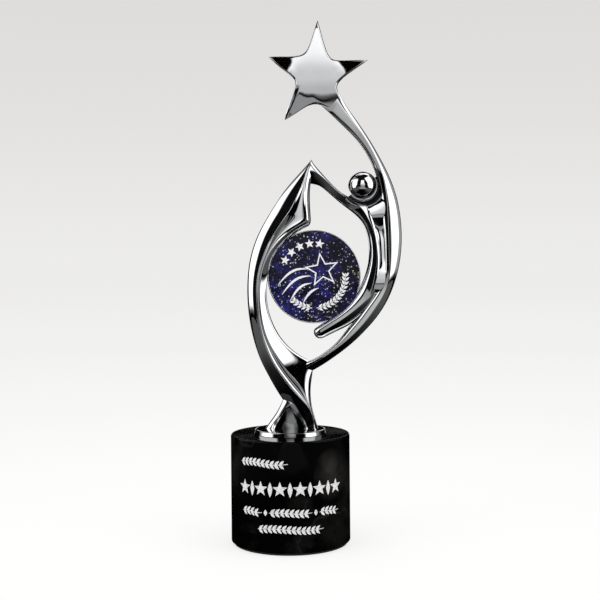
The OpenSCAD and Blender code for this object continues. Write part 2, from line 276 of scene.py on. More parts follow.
def glitter_finish():
    """Blue and black metal flakes under a clear gloss, with silver and gold flakes among them, and a painted
    sheen that brightens the blue towards the lower left.
    """
    m = Finish("glitter_print", Coat_Weight=0.3, Coat_Roughness=0.04,
               Specular_IOR_Level=0.15, Roughness=0.6)
    flakes = 1050.0
    x, z = m.axis("X"), m.axis("Z")
    patch = m.math("ADD", m.noise(85.0, 4.0, 0.65), m.math("MULTIPLY", m.noise(420.0, 3.0, 0.7), 0.45))
    # Painted sheen: a random cloud sets where the ground is blue, and this gradient brightens it towards the
    # lower left.
    sheen_lower_left = m.math("ADD", m.math("MULTIPLY", x, -2.2), m.math("MULTIPLY", z, -1.6))
    patch = m.math("ADD", patch, m.math("ADD", sheen_lower_left, 0.262))
    ground = m.ramp(patch, (0.58, (0.0012, 0.0010, 0.006)), (0.74, (0.004, 0.003, 0.040)),
                    (0.96, (0.009, 0.010, 0.15)))
    speck = m.node("SeparateColor")
    m.link(m.cells(1500.0, "Color"), speck.inputs[0])
    shade = m.span(speck.outputs[0], 0.2, 0.9, 0.25, 1.9)
    tinted = m.mix(1.0, ground, shade, "MULTIPLY")
    flake = m.node("SeparateColor")
    m.link(m.cells(flakes, "Color"), flake.inputs[0])
    body = m.span(m.cells(flakes), 0.30, 0.46, 1.0, 0.0)
    bright = m.math("MULTIPLY", m.span(flake.outputs[0], 0.70, 0.92, 0.0, 1.0), body)
    across = m.math("ADD", x, m.math("MULTIPLY", z, -0.8))
    across = m.math("ADD", across, m.math("MULTIPLY", m.noise(60.0), 0.02))
    gold_side = m.span(across, -0.092, -0.076, 0.0, 0.8)
    gold = m.math("MULTIPLY", gold_side, m.span(flake.outputs[1], 0.35, 0.5, 0.0, 1.0))
    cool = m.mix(m.span(flake.outputs[2], 0.4, 0.6, 0.0, 1.0), (0.55, 0.58, 0.68), (0.10, 0.13, 0.55))
    m.colour(m.mix(bright, tinted, m.mix(gold, cool, (0.60, 0.56, 0.25))))
    m.bump(m.cells(flakes), 0.06, 0.0001)
    return m.mat


def print_finish():
    """White ink, thin in places."""
    m = Finish("white_print", Roughness=0.5)
    m.colour(m.ramp(m.noise(900.0, 4.0, 0.7), (0.25, (0.60, 0.61, 0.63)), (0.5, (0.90, 0.90, 0.92))))
    m.bump(m.noise(2500.0), 0.2, 0.0001)
    return m.mat


def engraving_finish():
    """Pale paint rubbed into the engraved marks."""
    m = Finish("engraving_paint", Roughness=0.55)
    m.colour(m.ramp(m.noise(1200.0, 4.0, 0.75), (0.30, (0.36, 0.36, 0.37)), (0.52, (0.82, 0.82, 0.83))))
    m.bump(m.noise(1800.0), 0.5, 0.0001)
    return m.mat


CHROME = chrome_finish()
STEEL = steel_finish()
MARBLE = marble_finish()
PAD = pad_finish()
GLITTER = glitter_finish()
PRINT = print_finish()
ENGRAVING = engraving_finish()


# ---------- mesh helpers

CREASE = 42
PER_SPAN = 7
AXIS_R = 0.01


def new_object(name, points, faces, mat, smooth=True):
    """A mesh object whose edges sharper than CREASE degrees stay crisp."""
    mesh = bpy.data.meshes.new(name)
    mesh.from_pydata([tuple(p) for p in points], [], faces)
    mesh.validate()
    bm = bmesh.new()
    bm.from_mesh(mesh)
    bmesh.ops.recalc_face_normals(bm, faces=bm.faces)
    bm.to_mesh(mesh)
    bm.free()
    mesh.polygons.foreach_set("use_smooth", [smooth] * len(mesh.polygons))
    if smooth:
        mesh.set_sharp_from_angle(angle=math.radians(CREASE))
    mesh.materials.append(mat)
    return add_object(name, mesh)


def piece(obj, slot, *nodes):
    """Hands a piece over: it rides on the root body, and the CAD nodes it replaces are hidden; slot is not
    used.
    """
    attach(obj, ROOT)
    if nodes:
        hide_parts(*nodes)
    return obj


def ease(x, low, high):
    """0 up to low, 1 from high on, and a smooth step between."""
    t = min(max((x - low) / (high - low), 0.0), 1.0)
    return t * t * (3 - 2 * t)


def rounded(profile, radius):
    """A profile of [a, b] points with each inner corner rounded by a short curve."""
    parts = 5
    p = [np.array(q, float) for q in profile]
    out = [p[0]]
    for before, c, after in zip(p, p[1:], p[2:]):
        r0 = min(radius, 0.45 * np.linalg.norm(before - c))
        r1 = min(radius, 0.45 * np.linalg.norm(after - c))
        a = c + (before - c) / max(np.linalg.norm(before - c), 1e-9) * r0
        b = c + (after - c) / max(np.linalg.norm(after - c), 1e-9) * r1
        for k in range(parts + 1):
            u = k / parts
            out.append((1 - u) ** 2 * a + 2 * u * (1 - u) * c + u * u * b)
    return out + [p[-1]]


def upright(r, h, a):
    """Places a turned point about the drum's axis."""
    return (r * math.cos(a), r * math.sin(a), h)


def lathe(name, profile, mat, steps, place=upright):
    """A closed shape turned from a profile of [radius, height] points in mm."""
    n = len(profile)
    points, faces = [], []
    for i in range(steps):
        a = 2 * math.pi * i / steps
        points += [np.array(place(r, h, a)) * MM for r, h in profile]
    for i in range(steps):
        j = (i + 1) % steps
        faces += [(i * n + k, j * n + k, j * n + k + 1, i * n + k + 1) for k in range(n - 1)]
    obj = new_object(name, points, faces, mat)
    bm = bmesh.new()
    bm.from_mesh(obj.data)
    bmesh.ops.remove_doubles(bm, verts=bm.verts, dist=1e-7)
    bmesh.ops.recalc_face_normals(bm, faces=bm.faces)
    bm.to_mesh(obj.data)
    bm.free()
    return obj


def spline(points, per_span):
    """Points on the cubic B-spline that the guide controls, per_span of them to a span."""
    p = np.array(points, float)
    p = np.vstack([2 * p[0] - p[1], p, 2 * p[-1] - p[-2]])
    out = []
    for i in range(len(points) - 1):
        for k in range(per_span):
            u = k / per_span
            w = np.array([(1 - u) ** 3, 3 * u ** 3 - 6 * u ** 2 + 4,
                          1 + 3 * u + 3 * u * u - 3 * u ** 3, u ** 3])
            out.append(w @ p[i:i + 4] / 6)
    out.append((p[-3] + 4 * p[-2] + p[-1]) / 6)
    return np.array(out)


def with_height(guide, heights):
    """A smooth line through a flat guide, with its heights as the third column."""
    return np.hstack([spline(guide, PER_SPAN), spline([[h] for h in heights], PER_SPAN)])


def rise(edge, crest, n, lean=0.22):
    """A round flank from an edge point up to a crest, still climbing a little when it gets there."""
    a = np.linspace(0, math.pi / 2, n, endpoint=False)[:, None]
    across = 1 - np.cos(a)
    share = np.hstack([across, across, (1 - lean) * np.sin(a) + lean * across])
    return edge + (crest - edge) * share


def flank(edge, crest, n, flat, slope):
    """A tight round edge and then a flat facet of the given slope up to the crest."""
    start = crest + (edge - crest) * flat
    width = np.linalg.norm((crest - start)[:2])
    start[2] = max(crest[2] - slope * width, edge[2] + 0.3 * (crest[2] - edge[2]))
    reach = np.linalg.norm((start - edge)[:2])
    lean = min(slope * reach / max(start[2] - edge[2], 1e-6), 0.9)
    round_part = rise(edge, start, n, lean)
    shares = np.linspace(0, 1, 7)[:-1, None]
    return np.vstack([round_part, start + (crest - start) * shares])


def corner(before, c, after, radius):
    """Three points that round a crease of a section."""
    d0, d1 = before - c, after - c
    l0, l1 = np.linalg.norm(d0), np.linalg.norm(d1)
    r = min(radius, 0.4 * l0, 0.4 * l1)
    a, b = c + d0 * r / l0, c + d1 * r / l1
    return [a, (a + 2 * c + b) / 4, b]


def tube_faces(rings, n):
    """The quads between rings of n points."""
    faces = []
    for i in range(rings - 1):
        for j in range(n):
            k = (j + 1) % n
            faces.append((i * n + j, i * n + k, (i + 1) * n + k, (i + 1) * n + j))
    return faces


def loft_mesh(halves):
    """Points and faces of a solid through sections that are alike in front and behind."""
    m = len(halves[0])
    points = []
    for half in halves:
        points += [(x, -h, z) for x, z, h in half] + [(x, h, z) for x, z, h in half[::-1]]
    ring = 2 * m
    faces = tube_faces(len(halves), ring)
    last = (len(halves) - 1) * ring
    for j in range(m - 1):
        b = ring - 1 - j
        faces.append((j, b, b - 1, j + 1))
        faces.append((last + j, last + j + 1, last + b - 1, last + b))
    return [np.array(p) * MM for p in points], faces


def union(name, parts):
    """Joins closed solids of chrome into one."""
    whole = parts[0]
    for other in parts[1:]:
        mod = whole.modifiers.new("join", "BOOLEAN")
        mod.operation = "UNION"
        mod.solver = "MANIFOLD"
        mod.object = other
    depsgraph = bpy.context.evaluated_depsgraph_get()
    mesh = bpy.data.meshes.new_from_object(whole.evaluated_get(depsgraph))
    obj = add_object(name, mesh)
    mesh.materials.clear()
    mesh.materials.append(CHROME)
    mesh.polygons.foreach_set("use_smooth", [True] * len(mesh.polygons))
    mesh.set_sharp_from_angle(angle=math.radians(CREASE))
    for part in parts:
        bpy.data.objects.remove(part)
    return obj


# ---------- left sweep

# Guides run from the foot to the tip as [x, z]. Each height is half a thickness.
EDGE_H = 0.6
SWEEP_SLOPE = 0.28
SWEEP_OUTER = [[7.8, 62], [5.8, 66.5], [2.3, 70.5], [-1.5, 74.5], [-5, 79.3], [-9, 86], [-12, 91.7],
               [-14.5, 96.5], [-16.7, 101.5], [-18.7, 107.5], [-20.7, 115], [-22.2, 124], [-23, 134],
               [-22.8, 144.5], [-21.6, 154], [-19, 163], [-16, 169.8], [-13, 175.2], [-10.8, 178.7],
               [-9.5, 181], [-7.5, 184], [-4, 189.5], [0, 194.8], [5, 200.3], [9.3, 205], [12.7, 208.8]]
SWEEP_RIDGE = [[13.2, 62], [12.7, 66.5], [12, 70.5], [9.8, 74.8], [5.5, 79.3], [1, 84], [-3, 89.3],
               [-6.5, 94.5], [-9.5, 99.5], [-12.7, 106.5], [-15.5, 114], [-17.2, 123.5], [-18, 134],
               [-17.5, 144], [-15.3, 153], [-12, 161], [-8, 168.3], [-4, 174], [-1.5, 177.8], [0.5, 180.5],
               [2.2, 183.2], [5, 189], [7.7, 195], [9.6, 201], [11, 205], [12.9, 208.9]]
SWEEP_RIM = [[13.6, 62], [13.1, 66.5], [12.3, 70.5], [10.5, 75.3], [9.3, 79.5], [6.5, 84.8], [2.5, 89],
             [-1, 93.5], [-5, 99], [-9.2, 106], [-12.8, 113.3], [-15, 123], [-16, 134], [-15.5, 143.8],
             [-13.2, 152.5], [-9.5, 160], [-4.5, 166], [1.5, 170.8], [7.5, 174], [10.2, 175.8], [9.9, 179.5],
             [9.1, 187], [9, 194], [10.4, 201], [11.5, 205], [13.1, 208.9]]
SWEEP_INNER = [[15.3, 62], [14, 66.5], [12.8, 70.5], [11.6, 76], [11.2, 81.5], [11.7, 88], [12.8, 93],
               [12.5, 98.5], [7.5, 100.6], [0, 105.7], [-6.5, 113.8], [-10.7, 123.5], [-12.3, 134],
               [-12, 143], [-9.7, 152], [-6.5, 158.3], [-1.8, 164], [4, 169], [9.5, 172], [12.5, 173.4],
               [12.2, 178], [11.7, 187], [12, 194.5], [13.3, 201.5], [13.5, 206], [13.3, 208.8]]
SWEEP_RIDGE_H = [5, 5.4, 5.8, 6.2, 6.4] + [6.5] * 10 + [6.4, 6.2, 6, 5.8, 5.6, 5.4, 5, 4.5, 3.8, 2.8, 1]
SWEEP_RIM_H = ([5, 5.4, 5.8] + [6] * 7 + [5.8, 5.6, 5.4, 5.4, 5.4, 5.4, 5.3, 5.2]
               + [5, 5, 5, 4.8, 4.4, 3.8, 2.8, 1])
SWEEP_GROOVE = ([0, 0, 0.2, 0.8, 1.4, 1.6, 1.6, 1.4] + [1.2] * 8
                + [1.1, 1, 1, 0.9, 0.9, 0.8, 0.7, 0.5, 0.3, 0])
# How much of the outer flank is flat, how far the inner flank is dished, and its lip's height.
SWEEP_FLAT = [0.62, 0.62, 0.6, 0.5, 0.35, 0.2, 0.12, 0.12, 0.12, 0.12, 0.14, 0.16, 0.2, 0.26, 0.32,
              0.38, 0.43, 0.46, 0.46, 0.46, 0.46, 0.46, 0.44, 0.4, 0.3, 0.2]
SWEEP_DISH = [0] * 5 + [0.1, 0.4, 0.9, 1, 1, 1, 1, 1, 0.9, 0.6, 0.3] + [0] * 10
SWEEP_LIP_H = ([3] * 5 + [3.2, 2.6, 1.2, 0.9, 1.3, 2.2, 3, 3.5, 3.5, 3.5, 3.4, 3.2] + [3] * 6
               + [2.6, 2, 0.8])


def inner_flank(edge, rim, lip, dish):
    """From the rim down to the inner edge: a round flank, or a dish that ends in a small lip."""
    n, lip_width = 22, 0.14
    plain = rise(edge, rim, n)[::-1]
    u = np.linspace(1 / n, 1, n)
    flat = rim + (edge - rim) * u[:, None]
    at_edge = np.sqrt(np.clip(1 - np.clip((u - (1 - lip_width)) / lip_width, 0, 1) ** 2, 0, 1))
    bowl = lip + (rim[2] - lip) * (1 - u) ** 1.3
    flat[:, 2] = edge[2] + (bowl - edge[2]) * at_edge
    return plain + (flat - plain) * dish


def sweep_blade():
    """The leaf: an outer flank up to a ridge, a shallow groove to a rim, and an inner flank."""
    edges = [EDGE_H] * len(SWEEP_OUTER)
    outer = with_height(SWEEP_OUTER, edges)
    ridge = with_height(SWEEP_RIDGE, SWEEP_RIDGE_H)
    rim = with_height(SWEEP_RIM, SWEEP_RIM_H)
    inner = with_height(SWEEP_INNER, edges)
    shape = spline(np.column_stack([SWEEP_GROOVE, SWEEP_FLAT, SWEEP_DISH, SWEEP_LIP_H]), PER_SPAN)
    halves = []
    shares = np.linspace(0, 1, 11)[1:-1, None]
    for o, r, m, e, (dip, flat, dish, lip) in zip(outer, ridge, rim, inner, shape):
        band = flank(o, r, 12, flat, SWEEP_SLOPE)
        hollow = r + (m - r) * shares
        hollow[:, 2] -= dip * np.sin(math.pi * shares[:, 0]) ** 0.7
        wall = inner_flank(e, m, lip, dish)
        halves.append(np.vstack([band, corner(band[-1], r, hollow[0], 0.25), hollow,
                                 corner(hollow[-1], m, wall[0], 0.25), wall]))
    return new_object("blade", *loft_mesh(halves), CHROME)


STRUT_LEFT = [[-13.3, 62], [-12, 64.3], [-9.5, 67.6], [-6.5, 72], [-4, 77], [-3, 80]]
STRUT_RIGHT = [[-8.3, 62], [-7.6, 64.3], [-5.5, 68], [-2.5, 72], [2, 75], [5, 77]]
STRUT_H = 3.6


def blunted(halves, count):
    """Rounds the far end of a band by shrinking its last sections."""
    for k in range(count):
        t = (k + 1) / count
        size = 0.35 + 0.65 * math.sqrt(1 - t * t)
        half = halves[len(halves) - count + k]
        middle = half[:, :2].mean(0)
        half[:, :2] = middle + (half[:, :2] - middle) * size
        half[:, 2] *= size
    return halves


def band_mesh(name, left, crest, right, crest_h, left_h, right_h, facets=None, blunt=0):
    """A band whose section rises from a left edge to a crest and falls to a right edge.
    facets holds, along the band, how much of the left flank is flat, and that flat's slope."""
    a = with_height(left, left_h)
    c = with_height(crest, crest_h)
    b = with_height(right, right_h)
    facet = spline(np.column_stack(facets or ([0] * len(left), [0] * len(left))), PER_SPAN)
    halves = []
    for p, q, s, (flat, slope) in zip(a, c, b, facet):
        up = flank(p, q, 10, flat, slope) if facets else rise(p, q, 16)
        down = rise(s, q, 16)[::-1]
        halves.append(np.vstack([up, corner(up[-1], q, down[0], 0.2), down]))
    return new_object(name, *loft_mesh(blunted(halves, blunt)), CHROME)


def strut():
    """The short bar between the left foot and the blade."""
    middle = (np.array(STRUT_LEFT) + np.array(STRUT_RIGHT)) / 2
    edges = [EDGE_H] * len(STRUT_LEFT)
    return band_mesh("strut", STRUT_LEFT, middle, STRUT_RIGHT, [STRUT_H] * len(edges), edges, edges)


def web():
    """The dished panel that closes the arch between the feet."""
    left = [[-9.5, 62], [-7.6, 66], [-4.6, 71], [-3, 76]]
    right = [[9.5, 62], [8.5, 66], [5, 71.5], [2, 76]]
    halves = []
    for p, q in zip(spline(left, 8), spline(right, 8)):
        shares = np.linspace(0, 1, 15)[:, None]
        line = p + (q - p) * shares
        dish = 1.1 + 1.6 * (2 * shares - 1) ** 2
        halves.append(np.hstack([line, dish]))
    return new_object("web", *loft_mesh(halves), CHROME)


# ---------- right figure

# The arm and long leg run down from the star, and the low arm, body and short leg from the sweep's tip.
ARM_LEFT = [[12, 246], [17.5, 239.8], [24.5, 233.3], [29.8, 228], [35, 223], [40.2, 217], [44.3, 210.2],
            [47.6, 203.3], [49, 197.8], [49.8, 192], [50.8, 187], [51.6, 176], [52, 166], [52, 155],
            [52.4, 145], [49.6, 137.4], [41.5, 128], [36, 121], [31.3, 116], [27, 109.6], [20, 103.8],
            [14, 100], [9.5, 98.5]]
ARM_CREST = [[21.4, 252.2], [24.9, 246.2], [30, 237.3], [34.4, 231.7], [38.8, 225.8], [43.5, 218.8],
             [47.4, 211.4], [50.4, 204.2], [52.2, 198.2], [53.4, 191], [53.9, 185], [54.2, 176], [54.5, 166],
             [54.6, 155], [54.9, 146], [52.8, 136.5], [47, 128], [42, 121], [36, 114.5], [30, 109],
             [23, 104], [16, 99.3], [9, 95.5]]
ARM_RIGHT = [[24, 254], [27, 248], [31.8, 238.6], [36, 233], [40.3, 226.9], [45, 219.6], [49.3, 212.2],
             [53, 205], [56, 198.8], [58.7, 191], [60.3, 185], [61.7, 176], [62.2, 166], [61.5, 155],
             [59.3, 145], [56, 135.5], [52, 128], [47, 121], [40, 113.5], [33, 107], [25, 101.2],
             [17, 95.8], [9.5, 92]]
ARM_H = [1.2, 1.5, 2.1, 2.7, 3.4, 4.0, 4.6, 5.1, 5.7, 6.2, 6.6, 7, 7.2, 7.2, 7, 6.8, 6.5, 6.2, 5.9, 5.5,
         5, 4.4, 2.8]
ARM_LEFT_H = [0.6] * 7 + [0.8, 1.2, 2.4, 4.4, 6, 4.4, 3.6, 5.6, 5.6, 3.4, 1.4] + [0.6] * 5
ARM_FLATS = [0.75] * 4 + [0.72, 0.7, 0.65, 0.6, 0.6] + [0.5] * 14
ARM_SLOPES = ([0.17, 0.165, 0.16, 0.16, 0.165, 0.17, 0.185, 0.205, 0.24] + [0.3] * 5
              + [0.22, 0.13, 0.12, 0.13, 0.14] + [0.15] * 4)

BODY_LEFT = [[10.8, 196], [13.5, 195.8], [17.5, 195], [22, 190.9], [27, 186.4], [31.5, 182.8],
             [36, 179.4], [39.5, 175.8], [42, 171.3], [43.5, 166], [44.2, 160], [43.9, 154], [42.8, 148.5],
             [40.8, 143], [38, 137.3], [34, 131.3], [28.5, 126], [22, 121.7], [16.5, 118.3], [12.2, 115.6]]
BODY_CREST = [[12, 203], [14.1, 203.2], [20, 198.5], [24.9, 193.3], [29.8, 189], [34.9, 186.1],
              [39.9, 182.6], [42.2, 178.6], [45.2, 173], [47.2, 167], [48.1, 160], [48.1, 153.2],
              [46.9, 146.4], [45.4, 139.8], [43.4, 133.8], [37.6, 128.3], [31.2, 123.2], [24.2, 118.8],
              [18.3, 115.3], [14, 112.8]]
BODY_RIGHT = [[12.7, 209.2], [14.3, 206.3], [20.6, 199.4], [25.6, 193.9], [30.5, 189.7], [36, 187.2],
              [42.5, 184.8], [43.9, 180.4], [46.6, 174], [48.6, 167.4], [49.8, 160], [50, 152.8],
              [48.4, 145.8], [47.4, 139], [46.2, 131], [40, 124], [33.3, 118.2], [25.8, 115], [20.2, 112.2],
              [15.8, 110.2]]
BODY_H = [3.4, 3.6, 3.8, 4, 4.4, 5, 5.8, 6.6, 7, 7.2, 7.2, 7, 6.8, 6.6, 6.4, 6, 5.6, 5.2, 4.8, 4.4]
BODY_RIGHT_H = [0.6] * 4 + [0.8, 3, 5.4, 6.2, 6, 5.6, 5.4, 5.5, 6.2, 6.3, 4, 2, 0.8] + [0.6] * 3
BODY_FLATS = [0.72] * 6 + [0.62] + [0.55] * 7 + [0.35] * 6
BODY_SLOPES = [0.8] * 6 + [0.45] + [0.3] * 7 + [0.15] * 6

COLLAR_FROM = 218
COLLAR_TO = 392


def around_ball(r, h, a):
    """Places a turned point about the front-to-back axis through the ball."""
    return (BALL[0] + r * math.cos(a), -h, BALL[1] + r * math.sin(a))


def collar():
    """The dished part-ring that cups the ball, from the low arm round to the raised arm."""
    steps = 96
    profile = rounded([[7.9, -0.9], [9.2, -1.2], [10.9, -3.6], [11.9, -5.6], [12.5, -5.0], [12.9, 0],
                       [12.5, 5.0], [11.9, 5.6], [10.9, 3.6], [9.2, 1.2], [7.9, 0.9]], 0.5)
    n = len(profile)
    points = []
    for i in range(steps + 1):
        a = math.radians(COLLAR_FROM) + math.radians(COLLAR_TO - COLLAR_FROM) * i / steps
        points += [np.array(around_ball(r, h, a)) * MM for r, h in profile]
    faces = tube_faces(steps + 1, n)
    faces += [tuple(range(n)), tuple(range(steps * n, steps * n + n))[::-1]]
    return new_object("collar", points, faces, CHROME)


CHEST_ROWS = [
    [[43.6, 182.9, 5.2], [50.6, 187, 5.3], [54.8, 193, 5.6]],
    [[42.8, 181.2, 6.1], [48.6, 182.6, 6.15], [53.8, 186, 6.2]],
    [[42.2, 178.2, 6.4], [48, 177.6, 6.45], [53.3, 178.4, 6.5]],
    [[42.8, 176.6, 6.25], [48.2, 175.4, 5.3], [53.2, 176.8, 6.0]],
    [[45.4, 173, 5.2], [49.6, 170.5, 3.3], [53.2, 173, 4.8]],
    [[47.8, 167, 4.8], [50.6, 166, 4.0], [53.4, 167, 4.7]],
    [[48.7, 160, 5.1], [51.2, 160, 4.6], [53.7, 160, 5.0]],
    [[49, 153, 5.5], [51.5, 152.4, 5.0], [54, 153, 5.4]],
    [[47.5, 149, 6.2], [51.5, 148, 6.3], [55, 149, 6.4]],
    [[46.6, 144, 6.5], [50.5, 143, 6.6], [54.8, 144, 6.6]],
    [[44.6, 139, 6.5], [49, 138, 6.55], [52.8, 139, 6.6]],
    [[44, 136.8, 6.0], [47, 136, 5.6], [51.4, 136.6, 6.4]]]


def chest():
    """The shallow hollow between the figure's two sides, and the plain bridge below it."""
    across = [spline([row[k] for row in CHEST_ROWS], 5) for k in range(3)]
    halves = []
    for left, middle, right in zip(*across):
        u = np.linspace(0, 1, 13)[:, None]
        halves.append((1 - u) * (1 - 2 * u) * left + 4 * u * (1 - u) * middle + u * (2 * u - 1) * right)
    return new_object("chest", *loft_mesh(halves), CHROME)


def figure():
    arm = band_mesh("arm", ARM_LEFT, ARM_CREST, ARM_RIGHT, ARM_H, ARM_LEFT_H, [EDGE_H] * len(ARM_RIGHT),
                    (ARM_FLATS, ARM_SLOPES))
    body = band_mesh("body", BODY_LEFT, BODY_CREST, BODY_RIGHT, BODY_H, [EDGE_H] * len(BODY_LEFT),
                     BODY_RIGHT_H, (BODY_FLATS, BODY_SLOPES), blunt=5)
    return union("figure_casting", [arm, body, chest(), collar()])


# ---------- star

STAR_C = np.array([14.0, 253.0])
STAR_H = 3.4
STAR_RIM_H = 0.25
STAR_TILT = 0.045
STAR_LEAN_FROM = 10
STAR_LEAN_STEADY = 18
STAR_LEAN_CURVE = 0.003
STAR_FLAT_R = 12
STAR_FALL = 0.165
LOW_LEFT_EASE = 0.6
STRIP_SLOPE = 0.34
STAR_SIDES = [
    [[16.9, 285.3], [18.4, 280], [20.2, 273], [22.3, 266.5], [24.8, 263.4], [30, 263.2], [37, 263.5],
     [44.2, 263.3]],
    [[44.2, 263.3], [40, 260.3], [33.6, 256], [28.5, 252], [26.8, 248.5], [28.5, 243.5], [33.5, 236]],
    [[33.5, 236], [26, 234.8], [20.5, 238.4], [15.5, 240], [10.5, 238.6], [5, 234.8], [-1.8, 230.8]],
    [[-1.8, 230.8], [-0.4, 236.2], [1.6, 241.8], [3.6, 247], [4.9, 251.5], [3, 254.6], [-0.8, 257.3],
     [-5.5, 261], [-10, 265.5]],
    [[-10, 265.5], [-5, 265.8], [3, 265.5], [8.6, 266.3], [11.5, 269.5], [13.9, 276.5], [15.8, 282.5],
     [16.9, 285.3]]]


def star_outline():
    return np.vstack([spline(side, PER_SPAN)[:-1] for side in STAR_SIDES])


def softened(loop, passes):
    for _ in range(passes):
        loop = 0.5 * loop + 0.25 * (np.roll(loop, 1, 0) + np.roll(loop, -1, 0))
    return loop


def from_star_centre(x, z):
    """How far a point is from the star's middle: across, up and in a straight line."""
    dx, dz = x - STAR_C[0], z - STAR_C[1]
    return dx, dz, max(math.hypot(dx, dz), 1e-6)


def low_left_share(dx, dz, r):
    """1 towards the star's low left point, and 0 away from it."""
    return ease((-0.58 * dx - 0.81 * dz) / r, 0.75, 0.95)


def star_height(x, z):
    """Half the thickness: a nearly flat middle that leans back below, with points that fall back.
    A steep strip runs down the left side of the low left point."""
    dx, dz, r = from_star_centre(x, z)
    upward = ease(dz / r, 0.5, 0.95)
    to_arm = ease((0.68 * dx - 0.73 * dz) / r, 0.6, 0.95)
    low_left = low_left_share(dx, dz, r)
    down = max(STAR_LEAN_FROM - dz, 0.0)
    bent = min(down, STAR_LEAN_STEADY)
    lean = STAR_LEAN_CURVE * (bent * bent + 2 * STAR_LEAN_STEADY * (down - bent))
    flat_r = STAR_FLAT_R + 4.6 * max(dx / r, 0)
    past = math.log1p(math.exp((r - flat_r) / 1.1)) * 1.1
    fall = STAR_FALL * past * (1 - 0.85 * upward) * (1 - 0.9 * to_arm) * (1 - LOW_LEFT_EASE * low_left)
    fall -= STAR_FALL * (1 - LOW_LEFT_EASE) * max(past - 9, 0) * low_left
    into_strip = max(-dx + 0.45 * dz - 5.2, 0.0) * ease(-dz, 3.5, 6.5)
    into_tip = max(dz - 27, 0)
    thinnest = 0.05 + 0.25 * (1 - low_left)
    return max(STAR_H - lean - fall - STRIP_SLOPE * into_strip - 0.3 * into_tip, thinnest)


def edge_lift(depth):
    """A quarter round: 0 at the rim, 1 once the depth reaches 1."""
    return math.sqrt(1 - (1 - min(depth, 1.0)) ** 2)


def edge_share(x, z):
    """How much of the star's radius the round edge takes. The low left point has a crisper edge."""
    return 0.10 - 0.07 * low_left_share(*from_star_centre(x, z))


def star():
    """A flat-faced pillow: rings that grow rounder towards the middle, over a narrow round edge."""
    outline = star_outline()
    n = len(outline)
    shares = [1, 0.997, 0.99, 0.98, 0.967, 0.952, 0.936, 0.918, 0.9, 0.88, 0.85, 0.81, 0.75, 0.68, 0.6,
              0.52, 0.44, 0.36, 0.28, 0.2, 0.12, 0.05]
    front = []
    for s in shares:
        loop = softened(outline, int(240 * max(0.97 - s, 0) ** 1.2))
        flat = STAR_C + (loop - STAR_C) * s
        high = [STAR_RIM_H + (star_height(x, z) - STAR_RIM_H) * edge_lift((1 - s) / edge_share(x, z))
                for x, z in flat]
        front.append(np.column_stack([flat[:, 0], -np.array(high), flat[:, 1]]))
    rows = front[::-1] + [f * [1, -1, 1] for f in front]
    for row in rows:
        row[:, 1] -= STAR_TILT * (row[:, 2] - STAR_C[1] + 4)
    points = [p * MM for row in rows for p in row]
    faces = tube_faces(len(rows), n)
    faces.append(tuple(range(n)))
    faces.append(tuple((len(rows) - 1) * n + j for j in range(n)))
    return new_object("star_finial", points, faces, CHROME)


# ---------- base, disc and hardware

def stone_base():
    """The drum, bored through and recessed below. Two spare points keep its top's shading flat."""
    low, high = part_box("stone_base")
    r, z0, z1 = high.x / MM, low.z / MM, high.z / MM
    bevel, bore, recess = 0.6, 5, 13
    profile = rounded([[bore, z1], [bore + 1, z1], [r - bevel - 0.8, z1], [r - bevel, z1], [r, z1 - bevel],
                       [r, z0 + bevel], [r - bevel, z0], [recess, z0], [recess, z0 + recess],
                       [bore, z0 + recess], [bore, z1]], 0.25)
    return piece(lathe("stone_drum", profile, MARBLE, 256), "black_marble", "stone_base")


def flange():
    """The disc, with a slightly tapered side, and its spigot with the rod's hole."""
    low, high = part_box("flange_disc")
    r, end, top = high.x / MM, low.z / MM, high.z / MM
    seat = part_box("stone_base")[1].z / MM
    spigot, hole, depth = 4.9, 3, 10.5
    profile = rounded([[AXIS_R, top], [r - 1.6, top], [r - 0.9, top], [r - 0.4, top - 0.3],
                       [r - 0.36, top - 0.55], [r - 0.05, seat + 0.35], [r, seat + 0.1], [r - 0.1, seat],
                       [spigot, seat], [spigot, end], [hole, end], [hole, end + depth],
                       [AXIS_R, end + depth]], 0.25)
    return piece(lathe("flange", profile, CHROME, 256), "chrome", "flange_disc")


def pad():
    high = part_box("base_pad")[1]
    r, t, bevel = high.x / MM, high.z / MM, 0.2
    profile = rounded([[AXIS_R, 0], [r - bevel, 0], [r, bevel], [r, t], [AXIS_R, t]], 0.15)
    return piece(lathe("foam_pad", profile, PAD, 192), "pad", "base_pad")


def ball():
    """The head, open below with a blind hole for its dowel."""
    hole, sunk = 1.2, -3.5
    profile = [[BALL_R * math.sin(a), BALL_R * math.cos(a)] for a in np.linspace(0, math.pi - 0.15, 90)]
    profile += [[hole, -7.9], [hole, sunk], [AXIS_R, sunk]]

    def place(r, h, a):
        return (BALL[0] + r * math.cos(a), r * math.sin(a), BALL[1] + h)
    return piece(lathe("ball", profile, CHROME, 128, place), "chrome", "head_ball")


# ---------- medallion

def facing_front(r, h, a):
    """Places a turned point so that its height points to the front, about the medallion."""
    return (MEDAL[0] + r * math.cos(a), -h, MEDAL[1] + r * math.sin(a))


def medallion_holder():
    """A shallow cup with a thin rim."""
    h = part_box("medallion_holder")[1].y / MM
    r, rim, floor_h = HOLDER_R, 0.6, h - 1.3
    profile = rounded([[AXIS_R, -h], [r - 0.4, -h], [r, -h + 0.4], [r, h - 0.3], [r - 0.25, h],
                       [r - rim, h - 0.1], [r - rim, floor_h], [AXIS_R, floor_h]], 0.15)
    return piece(lathe("holder", profile, CHROME, 256, facing_front), "chrome", "medallion_holder")


